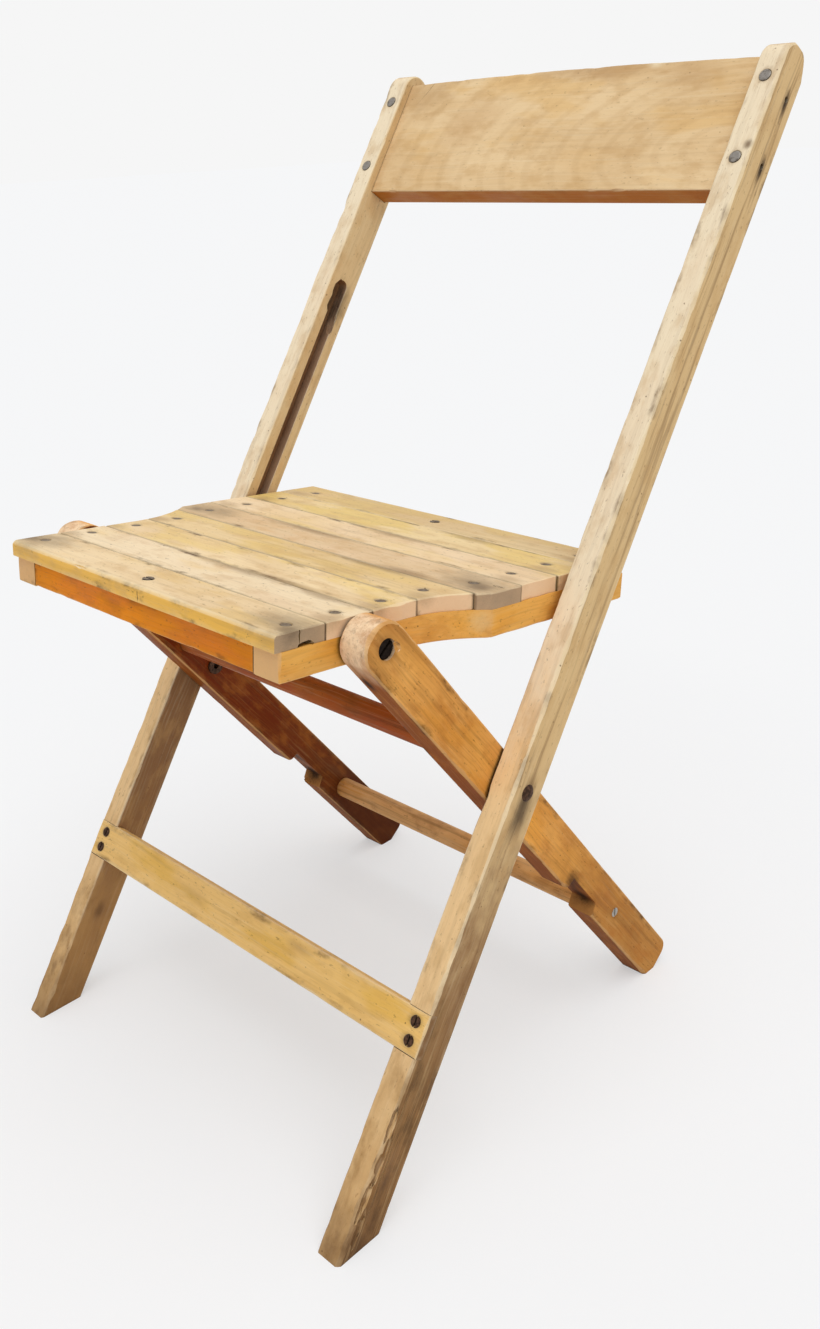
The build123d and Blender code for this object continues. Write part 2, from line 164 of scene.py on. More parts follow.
# A lump with uneven sides, for chips, dents and pits: half lengths along three axes
def gouge(at, axes, halves, seed):
    shape = bmesh.new()
    bmesh.ops.create_icosphere(shape, subdivisions=3, radius=1)
    for vert in shape.verts:
        way = vert.co.normalized()
        coarse = noise.noise(way * 1.6 + Vector((seed, 0, 0)))
        fine = noise.noise(way * 5 + Vector((0, seed, 0)))
        swell = 1 + 0.45 * coarse + 0.15 * fine
        offset = Vector((0, 0, 0))
        for axis, half, share in zip(axes, halves, way):
            offset += axis * half * share * swell
        vert.co = (at + offset) * mm
    bmesh.ops.recalc_face_normals(shape, faces=shape.faces)
    mesh = bpy.data.meshes.new("gougeTool")
    shape.to_mesh(mesh)
    shape.free()
    return bpy.data.objects.new("gougeTool", mesh)


# A jagged slit that runs down a face, open outwards and closing to a line inside the wood
def crack(at, down, side, out, width, length, depth, seed):
    rings = []
    for share in evenly(0, 1, 0.125):
        drift = side * 1.1 * noise.noise(Vector((share * 4, seed, 3.7)))
        half = side * width * (0.25 + 0.75 * sin(pi * min(1, share + 0.25))) / 2
        middle = at + down * length * share + drift
        rings.append([middle - half + out * 1.5, middle + half + out * 1.5, middle - out * depth])
    return rods("crackTool", [rings])


def standFor(piece, name):
    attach(piece, bodyOf[name])
    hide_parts(name)
    shown[name] = piece


# Sharp edges stay sharp and the flats stay flat, whatever slivers lie beside them
def smoothShade(piece):
    piece.data.shade_smooth()
    piece.data.set_sharp_from_angle(angle=radians(32))
    weighted = piece.modifiers.new("evenShade", "WEIGHTED_NORMAL")
    weighted.keep_sharp = True


# A copy of a CAD node with the tools' shapes cut out of it, standing for the node
def carve(name, tools):
    source = nodes[name].data
    mesh = bpy.data.meshes.new(name + "_worn")
    mesh.from_pydata([v.co for v in source.vertices], [], [list(p.vertices) for p in source.polygons])
    shape = bmesh.new()
    shape.from_mesh(mesh)
    bmesh.ops.remove_doubles(shape, verts=shape.verts, dist=0.001 * mm)
    shape.to_mesh(mesh)
    shape.free()
    piece = bpy.data.objects.new(name + "_worn", mesh)
    scene.collection.objects.link(piece)
    bench = bpy.data.collections.new(name + "_tools")
    scene.collection.children.link(bench)
    for tool in tools:
        bench.objects.link(tool)
    cut = piece.modifiers.new("wear", "BOOLEAN")
    cut.operation = "DIFFERENCE"
    cut.solver = "EXACT"
    cut.operand_type = "COLLECTION"
    cut.collection = bench
    bpy.context.view_layer.update()
    settled = piece.evaluated_get(bpy.context.evaluated_depsgraph_get())
    worn = bpy.data.meshes.new_from_object(settled)
    shape = bmesh.new()
    shape.from_mesh(worn)
    bmesh.ops.dissolve_degenerate(shape, dist=0.002 * mm, edges=shape.edges)
    shape.to_mesh(worn)
    shape.free()
    piece.modifiers.clear()
    piece.data = worn
    for tool in tools:
        bpy.data.objects.remove(tool)
    bpy.data.collections.remove(bench)
    smoothShade(piece)
    standFor(piece, name)


def srgb(code):
    parts = [int(code[i:i + 2], 16) / 255 for i in (1, 3, 5)]
    return [c / 12.92 if c <= 0.04045 else ((c + 0.055) / 1.055) ** 2.4 for c in parts] + [1.0]


# The setting that takes a node's mode, for the kinds that are named with one
nodeModes = {
    "Math": "operation", "VectorMath": "operation",
    "MapRange": "interpolation_type", "Mapping": "vector_type",
}


# Adds a node by its kind and mode. A node given as a value links its first output
def addNode(tree, kind, links=None, **settings):
    kind, _, mode = kind.partition(" ")
    node = tree.nodes.new("ShaderNode" + kind)
    if mode:
        setattr(node, nodeModes[kind], mode)
    for name, value in settings.items():
        setattr(node, name, value)
    for name, value in (links or {}).items():
        if isinstance(value, bpy.types.Node):
            value = value.outputs[0]
        if isinstance(value, bpy.types.NodeSocket):
            tree.links.new(value, node.inputs[name])
        else:
            node.inputs[name].default_value = value
    return node


# Old beech, birch and maple, planed, thinly varnished and used for decades: fine streaks and short
# pores, honey varnish left in soft patches, bare wood rubbed pale on the arrises, brown dirt beside
# them, dirt and painted shade in the joints, grey-black stains round the iron
def oldHardwood(name, board):
    material = bpy.data.materials.new(name)
    material.use_nodes = True
    tree = material.node_tree
    shader = tree.nodes["Principled BSDF"]
    add = partial(addNode, tree)
    seed = board["seed"]
    thick = board["along"].cross(board["wide"])
    turn = Matrix((board["along"], board["wide"], thick)).transposed()
    layers = []  # mask, tint and amount, from the bare wood up

    coords = add("TexCoord")
    normal = coords.outputs["Normal"]
    local = add("Mapping TEXTURE", {
        "Vector": coords.outputs["Object"], "Location": board["centre"] * mm,
        "Rotation": turn.to_euler("XYZ"), "Scale": (mm, mm, mm),
    })  # millimetres along, wide and thick, from the board's middle
    axes = add("SeparateXYZ", {"Vector": local}).outputs
    away = (seed * 311.7, seed * 127.3, seed * 74.1)  # the board's own part of the noise
    shifted = add("VectorMath ADD", {0: local, 1: away})
    drift = add("TexNoise", {"Vector": shifted, "Scale": 0.011, "Detail": 2.0})
    sway = add("VectorMath MULTIPLY_ADD", {
        0: drift.outputs["Color"], 1: (0, board["sway"], board["sway"]), 2: shifted
    })  # the grain wanders a few millimetres over a hand's length

    # each pattern: 1/mm along the grain, 1/mm across it, detail, and the range that counts
    left = 0.24 * board["varnishLeft"]
    patterns = {
        "patches": (0.011, 0.03, 3.0, 0.62 - left, 0.78 - left),
        "clouds": (0.007, 0.016, 3.0, 0.44, 0.66),
        "blush": (0.013, 0.02, 2.0, 0.48, 0.68),
        "streaks": (0.010, 0.8, 4.0, 0.46, 0.74),
        "pale": (0.008, 0.5, 3.0, 0.50, 0.74),
        "weather": (0.0055, 0.2, 5.0, 0.50, 0.66),
        "pores": (0.08, 1.4, 2.0, 0.60, 0.74),  # 0.7 by 12 mm, coarser than life so that they show
        "ragged": (0.05, 0.09, 4.0, 0.36, 0.60),
        "mottle": (0.035, 0.07, 6.0, 0.47, 0.68),
        "flecks": (0.22, 0.5, 3.0, 0.62, 0.72),
        "soil": (0.03, 0.05, 5.0, 0.52, 0.72),
    }
    masks, raw = {}, {}
    for number, (label, (along, across, detail, low, high)) in enumerate(patterns.items()):
        place = (len(label) * 5.3, seed, number * 9.1)  # no two patterns lie alike
        space = add("Mapping", {"Vector": sway, "Scale": (along, across, across), "Location": place})
        raw[label] = add("TexNoise", {"Vector": space, "Scale": 1.0, "Detail": detail, "Roughness": 0.58})
        masks[label] = add("MapRange SMOOTHSTEP", {"Value": raw[label], "From Min": low, "From Max": high})
    layers.append((masks["patches"], board["varnish"], 0.85))
    layers.append((masks["clouds"], board["shade"], board["cloud"]))
    layers.append((masks["blush"], board["blush"], board["blushAmount"]))

    # a tone on one face or on all, over part of the length, in a box, or where a pattern lets it through
    def toneFace(face):
        shares = []
        if face["normal"] is not None:
            facing = add("VectorMath DOT_PRODUCT", {0: normal, 1: face["normal"]}).outputs["Value"]
            shares.append(add("MapRange SMOOTHSTEP", {"Value": facing, "From Min": 0.5, "From Max": 0.9}))
        if "run" in face:
            start, end = face["run"]
            blur = (end - start) * 0.45  # the noise moves the edge this far each way
            ragged = add("Math MULTIPLY_ADD", {0: raw["ragged"], 1: blur * 2, 2: axes["X"]})
            span = {"From Min": start + blur, "From Max": end + blur}
            shares.append(add("MapRange SMOOTHSTEP", {"Value": ragged, **span}))
        for axis, (low, high) in face.get("within", {}).items():
            half = (high - low) / 2
            off = add("Math SUBTRACT", {0: axes[axis], 1: low + half})
            off = add("Math ABSOLUTE", {0: off})
            span = {"From Min": half, "From Max": half - 0.6}
            shares.append(add("MapRange SMOOTHSTEP", {"Value": off, **span}))
        if "through" in face:
            shares.append(masks[face["through"]])
        share = shares[0]
        for other in shares[1:]:
            share = add("Math MULTIPLY", {0: share, 1: other})
        layers.append((share, face["tint"], face["amount"]))

    for face in board.get("faces", []):
        toneFace(face)

    # growth rings where the saw met them, as nested curves round a place on the board
    if board["ringAmount"]:
        curl, squash = board["curl"], 0.2
        heart = (-(board["heart"][0] + away[0]) * curl, -(board["heart"][1] + away[1]), -away[2] * squash)
        space = add("Mapping", {"Vector": sway, "Scale": (curl, 1, squash), "Location": heart})
        rings = add("TexWave", {
            "Vector": space, "Scale": 0.314 / board["ring"], "Distortion": board["wander"],
            "Detail": 2.0, "Detail Scale": 0.3, "Detail Roughness": 0.5,
        }, wave_type="RINGS", rings_direction="Z").outputs["Fac"]
        late = add("MapRange SMOOTHSTEP", {"Value": rings, "From Min": 0.6, "From Max": 1.0})
        late = add("Math MULTIPLY", {0: late, 1: raw["clouds"]})
        layers.append((late, board["streak"], board["ringAmount"]))

    layers.append((masks["streaks"], board["streak"], board["streakAmount"]))
    layers.append((masks["pale"], board["rubbed"], board["paleAmount"]))
    layers.append((masks["mottle"], board["shade"], board["mottle"]))
    layers.append((masks["pores"], board["pore"], board["poreAmount"]))
    layers.append((masks["flecks"], board["dirt"], board["fleckAmount"]))
    layers.append((masks["weather"], board["dirt"], board["weather"]))

    # end grain, drier than the faces
    endways = add("VectorMath DOT_PRODUCT", {0: normal, 1: board["along"]}).outputs["Value"]
    endways = add("Math ABSOLUTE", {0: endways})
    endMask = add("MapRange SMOOTHSTEP", {"Value": endways, "From Min": 0.55, "From Max": 0.85})
    layers.append((endMask, board["endGrain"], board["endAmount"]))

    # how far a point lies from the nearest arris, by the board's own size
    near = []
    for axis, whole in zip("XYZ", board["size"]):
        off = add("Math ABSOLUTE", {0: axes[axis]})
        near.append(add("Math SUBTRACT", {0: whole / 2, 1: off}))
    low = add("Math MINIMUM", {0: near[1], 1: near[2]})
    high = add("Math MAXIMUM", {0: near[1], 1: near[2]})
    high = add("Math MINIMUM", {0: high, 1: near[0]})
    toArris = add("Math MAXIMUM", {0: low, 1: high})
    wavy = add("Math MULTIPLY_ADD", {0: raw["ragged"], 1: 9.0, 2: toArris})
    paleBand = add("MapRange SMOOTHSTEP", {"Value": wavy, "From Min": 8.4, "From Max": 3.6})
    layers.append((paleBand, board["rubbed"], board["rubAmount"] * 0.5))
    darkBand = add("MapRange SMOOTHSTEP", {"Value": wavy, "From Min": 9.6, "From Max": 6.2})
    darkBand = add("Math MULTIPLY", {0: darkBand, 1: masks["soil"]})
    layers.append((darkBand, board["dirt"], board["edgeDirt"]))

    # a dark line along the joint with the next board
    if board["seam"]:
        joint = add("Math MULTIPLY_ADD", {0: raw["ragged"], 1: 1.6, 2: near[1]})
        joint = add("MapRange SMOOTHSTEP", {"Value": joint, "From Min": 2.1, "From Max": 1.1})
        layers.append((joint, board["dirt"], board["seam"]))

    # the worn arrises themselves face between the board's flats
    flat = board.get("flat", thick)
    flatness = add("VectorMath DOT_PRODUCT", {0: normal, 1: flat}).outputs["Value"]
    square = add("Math POWER", {0: flatness, 1: 2.0})
    upright = add("Math SUBTRACT", {0: 1.0, 1: square})
    slanted = add("Math MULTIPLY", {0: upright, 1: square})
    bare = add("MapRange SMOOTHSTEP", {"Value": slanted, "From Min": 0.03, "From Max": 0.16})
    layers.append((bare, board["rubbed"], board["rubAmount"]))
    for face in board.get("soiledAndShaded", []):
        toneFace(face)

    # stains that spread along the grain from nails, rivets and damp ends, and patches of painted shade in
    # hollows such as the posts' groove and the legs' notch
    for centre, reach, stretch, tint, amount in board.get("stainsAndShade", []):
        off = add("VectorMath SUBTRACT", {0: local, 1: centre})
        off = add("VectorMath MULTIPLY", {0: off, 1: (1 / (reach * stretch), 1 / reach, 1 / reach)})
        off = add("VectorMath LENGTH", {0: off}).outputs["Value"]
        for pattern, weight in (("soil", 1.1), ("streaks", 0.5)):
            off = add("Math MULTIPLY_ADD", {0: raw[pattern], 1: weight, 2: off})
        fade = add("MapRange SMOOTHSTEP", {"Value": off, "From Min": 1.75, "From Max": 0.85})
        layers.append((fade, tint, amount))

    # specks and small knocks, one in about every third 9 mm cell
    specks = add("TexVoronoi", {"Vector": sway, "Scale": 0.11}).outputs
    dot = add("MapRange SMOOTHSTEP", {"Value": specks["Distance"], "From Min": 0.09, "From Max": 0.045})
    some = add("SeparateColor", {"Color": specks["Color"]}).outputs["Red"]
    some = add("MapRange", {"Value": some, "From Min": 0.62, "From Max": 0.8})
    dot = add("Math MULTIPLY", {0: dot, 1: some})
    layers.append((dot, board["dirt"], board["speckAmount"]))

    # dirt and painted shade in joints and corners: darker where ambient occlusion finds the wood shut in,
    # within a few millimetres
    crevice = add("AmbientOcclusion", {"Distance": board["crevice"] * mm}, samples=8).outputs["AO"]
    creviceShade = add("MapRange", {"Value": crevice, "From Min": 0.66, "From Max": 0.2})
    layers.append((creviceShade, board["grimeAndShade"], board["grimeAndShadeAmount"]))

    colour = srgb(board["bare"])
    for mask, tint, amount in layers:
        share = add("Math MULTIPLY", {0: mask, 1: amount}, use_clamp=True)
        colour = add("MixRGB", {"Fac": share, "Color1": colour, "Color2": srgb(tint)})

    # varnish is smoother than the bare wood beside it
    span = {"To Min": board["roughBare"], "To Max": board["roughVarnish"]}
    rough = add("MapRange", {"Value": masks["patches"], **span})

    # raised grain, open pores, specks as dents and a hand-planed unevenness
    relief = raw["soil"]
    for mask, amount in ((raw["streaks"], 0.5), (masks["pores"], -0.3), (dot, -0.8), (raw["ragged"], 0.8)):
        relief = add("Math MULTIPLY_ADD", {0: mask, 1: amount, 2: relief})
    bump = add("Bump", {"Height": relief, "Strength": board["relief"], "Distance": 0.6 * mm})
    for socket, node in (("Base Color", colour), ("Roughness", rough), ("Normal", bump)):
        tree.links.new(node.outputs[0], shader.inputs[socket])
    shader.inputs["IOR"].default_value = 1.5
    shader.inputs["Specular IOR Level"].default_value = board["gloss"]
    return material


# Values that every board starts from
plainBoard = {
    "sway": 7.0, "heart": (0, 0), "ring": 6.0, "wander": 3.0, "curl": 0.06, "ringAmount": 0.0,
    "varnishLeft": 0.5, "shade": "#c39a63", "cloud": 0.3, "blush": "#e4c08f", "blushAmount": 0.3,
    "streakAmount": 0.2, "paleAmount": 0.15, "pore": "#9a7142", "poreAmount": 0.25,
    "mottle": 0.38, "fleckAmount": 0.45,
    "weather": 0.12, "dirt": "#6a4a2c", "edgeDirt": 0.7, "speckAmount": 0.7,
    "endGrain": "#c49c6e", "endAmount": 0.8, "rubbed": "#f0dfbd", "rubAmount": 0.6,
    "crevice": 4, "grimeAndShade": "#2e1d10", "grimeAndShadeAmount": 0.85, "seam": 0.0,
    "roughBare": 0.66, "roughVarnish": 0.48, "relief": 0.42, "gloss": 0.15,
}


def dress(name, material):
    shown[name].data.materials.clear()
    shown[name].data.materials.append(material)


def woodNode(name, finish, board):
    dress(name, oldHardwood(finish, {**plainBoard, **board}))


# One tone of a board's faces, for toneFace: the way the face looks, or None for all of them
def tone(normal, tint, amount, **where):
    return {"normal": normal, "tint": tint, "amount": amount, **where}


# The sharp arris of a bar with a round top: up its front, over the top and down its rear in one sweep
def barEdge(bar, x, face, front, tip, rear, foot):
    place = bar["place"]
    up, back = bar["along"], bar["wide"]
    radius = bar["size"][1] / 2
    top = bar["topCentre"]
    stations = []
    for at in evenly(bar["edgeStart"], top - 3):
        worn = front + (foot - front) * max(0, 1 - at / footRun)
        stations.append((place(at, bar["front"], x), -back, face, worn))
    for angle in evenly(0, pi, pi / 12):
        radial = up * sin(angle) - back * cos(angle)
        stations.append((place(top, bar["front"] + radius, x) + radial * radius, radial, face, tip))
    for at in evenly(top - 3, bar["edgeEnd"]):
        stations.append((place(at, bar["front"] + 2 * radius, x), back, face, rear))
    return stations


posts = {
    "place": onPost, "along": upPost, "wide": backPost, "front": 0,
    "size": (chair["postLength"], chair["postDepth"], chair["postOuter"] - chair["postInner"]),
    "topCentre": chair["postLength"] - chair["postDepth"] / 2, "edgeStart": -4, "edgeEnd": 12,
    "bare": "#e6cf9f", "varnish": "#dcb77c", "streak": "#b58b56", "varnishLeft": 0.45,
    "streakAmount": 0.12, "rubAmount": 0.42,
    "rivets": (816.5, 881), "rivetSeat": [(-0.5, 4.6), (0.1, 5.3), (1, 5.6)],
    "nails": (821, 874.5), "nailBack": 21, "nailPit": (5.4, 2.3, 3.2),
    # wear of the front arris, the tip, the rear arris and the foot
    "wearOuter": (2.2, 1.8, 1.0, 4.2), "wearInner": (1.3, 1.3, 0.8, 1.6),
    # chips along the outer arris: up the post, back from its front, half length and depth
    "chips": {
        -1: [(861, 0.4, 8, 3.0), (640, 0, 6, 2.0), (300, 0, 10, 2.2), (60, 0, 12, 2.4)],
        1: [(183, 0, 5, 3.6), (132, 0, 14, 4.4), (92, 0, 16, 4.8), (40, 0, 22, 5.6), (610, 0, 7, 2.2),
            (500, 0, 12, 2.0), (745, 0, 8, 2.2), (9, 31, 8, 4.0)],
    },
    # splits along the grain of the right foot: up, back and length
    "splits": {-1: [], 1: [(128, 8, 60), (84, 11, 50)]},
    # splinters torn off beside that arris: up, back, half length, half width and depth
    "splinters": {-1: [], 1: [
        (150, 2, 16, 2.4, 2.0), (122, 4, 20, 2.8, 2.4), (98, 2, 13, 2.8, 3.0), (72, 5, 19, 3.2, 2.6),
        (46, 3, 17, 3.0, 3.2), (26, 7, 13, 3.4, 2.4),
    ]},
    # single dents: up, back, in from the outer face, half sizes
    "dents": {
        -1: [(692, 15, 21, (16, 8.2, 9)), (668, 18.5, 21, (16, 6.6, 8))],  # groove's end, broken by the pin
        1: [(826.2, 0, 3.7, (3.4, 1.6, 2.6))],  # beside the lower rivet
    },
    # stains and painted shade of one side alone: place from the post's middle, reach, stretch, tint and
    # amount
    "sideStainsAndShade": {
        -1: [
            ((229, 2, -5), 16, 2.4, "#160d08", 1.0),  # painted shade, near black, in the broken end of the groove
            ((-356, 0, -10.5), 8, 1.6, "#4a2e1a", 0.5),  # a knot
        ],
        1: [((369, -16.5, -6.8), 5, 1.2, "#6d5136", 0.8)],  # the dent beside the rivet
    },
}
halfLength, halfDepth, halfThick = [length / 2 for length in posts["size"]]
for side, sign in sides:
    outward = acrossChair * sign
    outer = sign * chair["postOuter"]
    outerFace = -sign * halfThick  # in the material's own thick direction
    tools = [
        rubbedArris(barEdge(posts, outer, outward, *posts["wearOuter"]), 3.1 + sign),
        rubbedArris(barEdge(posts, sign * chair["postInner"], -outward, *posts["wearInner"]), 8.4 + sign),
    ]
    for number, (up, back, half, deep) in enumerate(posts["chips"][sign]):
        tools.append(gouge(onPost(up, back, outer), postAxes, (half, deep, deep), number + sign * 7))
    for up, back, inward, halves in posts["dents"][sign]:
        tools.append(gouge(onPost(up, back, outer - sign * inward), postAxes, halves, up / 100))
    for up in posts["nails"]:
        tools.append(gouge(onPost(up - 1, posts["nailBack"], outer), postAxes, posts["nailPit"], up / 50))
    for up, back, *halves in posts["splinters"][sign]:
        tools.append(gouge(onPost(up, back, outer), postAxes, halves, up / 13))
    for up, back, length in posts["splits"][sign]:
        ways = (-upPost, outward.cross(upPost), outward)
        tools.append(crack(onPost(up, back, outer), *ways, 0.9, length, 4, up / 9))
    for up in posts["rivets"]:
        dish = turned(onPost(up, 0, sign * postMiddle), -backPost, posts["rivetSeat"])
        tools.append(rods("rivetSeat", [dish]))
    carve("post_" + side, tools)
    stainsAndShade = []
    for up in posts["nails"]:
        streak = (up - 3 - halfLength, posts["nailBack"] - halfDepth, outerFace)
        stainsAndShade.append((streak, 5, 3.2, "#2a1a10", 0.95))
    for up in posts["rivets"]:
        stainsAndShade.append(((up - halfLength, -halfDepth, 0), 7, 1.3, "#8a6a45", 0.6))
    stainsAndShade += [
        ((chair["pivotUp"] - 10 - halfLength, 0, outerFace), 13, 2.8, "#33251a", 0.75),
        ((588 - halfLength, 0, sign * 2), 13, 16, "#5a3522", 0.5),  # painted shade down the groove
    ]
    stainsAndShade += posts["sideStainsAndShade"][sign]
    groove = {"X": (8, 256), "Y": (-10, 10), "Z": sorted((-sign, sign * 10.1))}
    woodNode("post_" + side, "beechPlanedPost" + side.title(), {
        **posts, "seed": 1.3 + sign, "centre": onPost(halfLength, halfDepth, sign * postMiddle),
        "stainsAndShade": stainsAndShade,
        "faces": [
            tone(-backPost, "#f8e8cd", 0.74),
            tone(outward, "#d6b17b", 0.75),
            tone(outward, "#8d6a42", 0.5, through="weather"),
            tone(-outward, "#cfa876", 0.5),
            # the inner face below the seat: dark brown varnish, darkened further as painted shade
            tone(-outward, "#7a4f2d", 0.85, run=(20, -60)),
            tone(backPost, "#b58c57", 0.6),
            tone(outward, "#754a28", 0.75, run=(-60, -300)),
            tone(-backPost, "#e8b76a", 0.6, run=(10, -130)),
        ],
        "soiledAndShaded": [
            # painted shade: the inside of the groove is darkened
            tone(None, "#8f6243", 0.75, within=groove),
            tone(None, "#b2854c", 0.6, run=(-200, -420)),
            tone(outward, "#6b4420", 0.55, run=(-200, -430)),
            tone(outward, "#42290f", 0.6, run=(-160, -400), through="mottle"),
            tone(outward, "#cda873", 0.55, run=(-190, -420), through="pale"),
            tone(outward, "#3d2712", 0.7, run=(-150, -380), through="pores"),
            tone(None, "#5c3d22", 0.55, run=(-380, -475)),
            tone(None, "#5a3c24", 0.5, run=(-240, -440), through="soil"),
            tone(outward, "#4e331d", 0.5, run=(-180, -420), through="streaks"),
            tone(-backPost, "#8a683d", 0.35, run=(-180, -420), through="mottle"),
        ],
    })

panel = {
    "front": 8, "thick": 20, "low": 795, "high": 902.5, "crown": 3, "half": 179, "wear": 1.0, "lowWear": 1.1,
    "along": acrossChair, "wide": upPost, "centre": onPost(848.75, 18, 0), "size": (376, 113, 20),
    "seed": 3.7,
    "bare": "#ebcd9f", "varnish": "#e4be84", "streak": "#b98f5a", "shade": "#c49a62", "blush": "#e0b77c",
    "streakAmount": 0.1, "ringAmount": 0.26, "curl": 0.5, "ring": 12.0, "wander": 6.0, "heart": (175, -18),
    "poreAmount": 0.1, "rubAmount": 0.35, "speckAmount": 0.4, "edgeDirt": 0.5, "weather": 0.06,
    "fleckAmount": 0.22,
    "faces": [
        tone(-upPost, "#9c4f0c", 0.96),
        tone(upPost, "#b98a50", 0.6),
        tone(backPost, "#b98a52", 0.5),
    ],
    "soiledAndShaded": [tone(-upPost, "#a2620e", 0.6)],
    "stainsAndShade": [
        ((-150, 40, 10), 30, 1.8, "#a97d49", 0.35), ((40, 54, 10), 16, 5.0, "#a97a45", 0.5),
        ((85, 55, 10), 6, 2.0, "#f2dfba", 0.8),
        ((-90, 10, 10), 34, 1.6, "#c39763", 0.4), ((120, 46, 10), 22, 1.8, "#b98d58", 0.4),
    ],
    "chip": (904, -120, (9, 0.9, 2.2)),  # in the top edge: up, across, half sizes
    "split": {"up": 904, "x": -150, "across": -12, "down": 19, "width": 0.6, "length": 26, "depth": 2},
}
tools = []
for back, face, seed in ((panel["front"], -backPost, 2.6), (panel["front"] + panel["thick"], backPost, 5.2)):
    tops = []
    for x in evenly(-panel["half"], panel["half"]):
        rise = panel["crown"] * (1 - (x / panel["half"]) ** 2)
        tops.append((onPost(panel["high"] + rise, back, x), upPost, face, panel["wear"]))
    tools.append(rubbedArris(tops, seed))
lowEdge = []
for x in evenly(1 - panel["half"], panel["half"] - 1):
    lowEdge.append((onPost(panel["low"], panel["front"], x), -upPost, -backPost, panel["lowWear"]))
tools.append(rubbedArris(lowEdge, 7.9))
up, x, halves = panel["chip"]
tools.append(gouge(onPost(up, panel["front"], x), (acrossChair, upPost, backPost), halves, x / 20))
split = panel["split"]
slant = (acrossChair * split["across"] - upPost * split["down"]).normalized()
ways = (slant, backPost.cross(slant), -backPost)
at = onPost(split["up"], panel["front"], split["x"])
tools.append(crack(at, *ways, split["width"], split["length"], split["depth"], 3.3))
carve("back_panel", tools)
woodNode("back_panel", "maplePlanedPanel", panel)

stretcher = {
    "low": 146, "high": 177, "wear": 1.0, "endWear": 0.9, "rubAmount": 0.3,
    "screws": (154.7, 168.3), "screwSeat": [(-0.8, 3.9), (0.1, 4.7), (1, 5)],
    "along": acrossChair, "wide": upPost, "centre": onPost(161.5, 3.75, 0), "size": (400, 31, 7.5),
    "seed": 5.1,
    "bare": "#ecc27a", "varnish": "#e2b355", "streak": "#b98944", "varnishLeft": 0.6, "shade": "#cda05a",
    "blush": "#ecc06c", "endGrain": "#7a5532", "endAmount": 0.95,
    "stainsAndShade": [((-60, 0, 3.75), 9, 3, "#b08a55", 0.4), ((70, 8, 3.75), 7, 3, "#a98250", 0.4)],
}
tools = []
for up, face, seed in ((stretcher["low"], -upPost, 4.7), (stretcher["high"], upPost, 9.3)):
    edge = [(onPost(up, 0, x), face, -backPost, stretcher["wear"]) for x in evenly(-203, 203)]
    tools.append(rubbedArris(edge, seed))
for sign in (-1, 1):
    ends = []
    for up in evenly(stretcher["low"] - 6, stretcher["high"] + 6, 3):
        at = onPost(up, 0, sign * chair["postOuter"])
        ends.append((at, acrossChair * sign, -backPost, stretcher["endWear"]))
    tools.append(rubbedArris(ends, 6.6 + sign))
    for up in stretcher["screws"]:
        dish = turned(onPost(up, 0, sign * postMiddle), -backPost, stretcher["screwSeat"])
        tools.append(rods("screwSeat", [dish]))
        head = (sign * postMiddle, up - (stretcher["low"] + stretcher["high"]) / 2, stretcher["size"][2] / 2)
        stretcher["stainsAndShade"].append((head, 6.5, 1.3, "#4a3018", 0.6))
carve("front_stretcher", tools)
woodNode("front_stretcher", "beechPlanedStretcher", stretcher)

legs = {
    "place": onLeg, "along": upLeg, "wide": backLeg, "front": -chair["legWidth"] / 2, "middle": -75,
    "size": (533, chair["legWidth"], chair["legOuter"] - chair["legInner"]),
    "topCentre": chair["pivotReach"], "edgeStart": -350, "edgeEnd": -350,
    "bare": "#f4b25c", "varnish": "#eea440", "streak": "#9c5a1c", "varnishLeft": 0.6,
    "streakAmount": 0.3, "weather": 0.22, "cloud": 0.4, "mottle": 0.46,
    "shade": "#b06a28", "blush": "#e2a143", "endAmount": 0.0, "rubbed": "#e0b47a", "rubAmount": 0.4,
    "dirt": "#43280f", "edgeDirt": 0.9, "pore": "#7c4a1e", "gloss": 0.08,
    "wearOuter": (1.9, 1.8, 1.2, 1.9), "wearInner": (1.2, 1.2, 0.8, 1.2),
    # up the leg, back from its middle, out from the chair's middle, half sizes
    "notchChips": [(-147, -9, 177, (9, 6, 5)), (-143, -4, 177.5, (4, 4, 3)), (-199, -17, 172, (4, 3, 7))],
    "sideChips": {-1: [], 1: [
        (153, -18, 160.5, (7, 3, 1.3)),  # a knot
        (168.5, 6.4, 177.5, (4.5, 2.8, 1.6)),  # rim of the bolt's hole
    ]},
}
halfThick = legs["size"][2] / 2
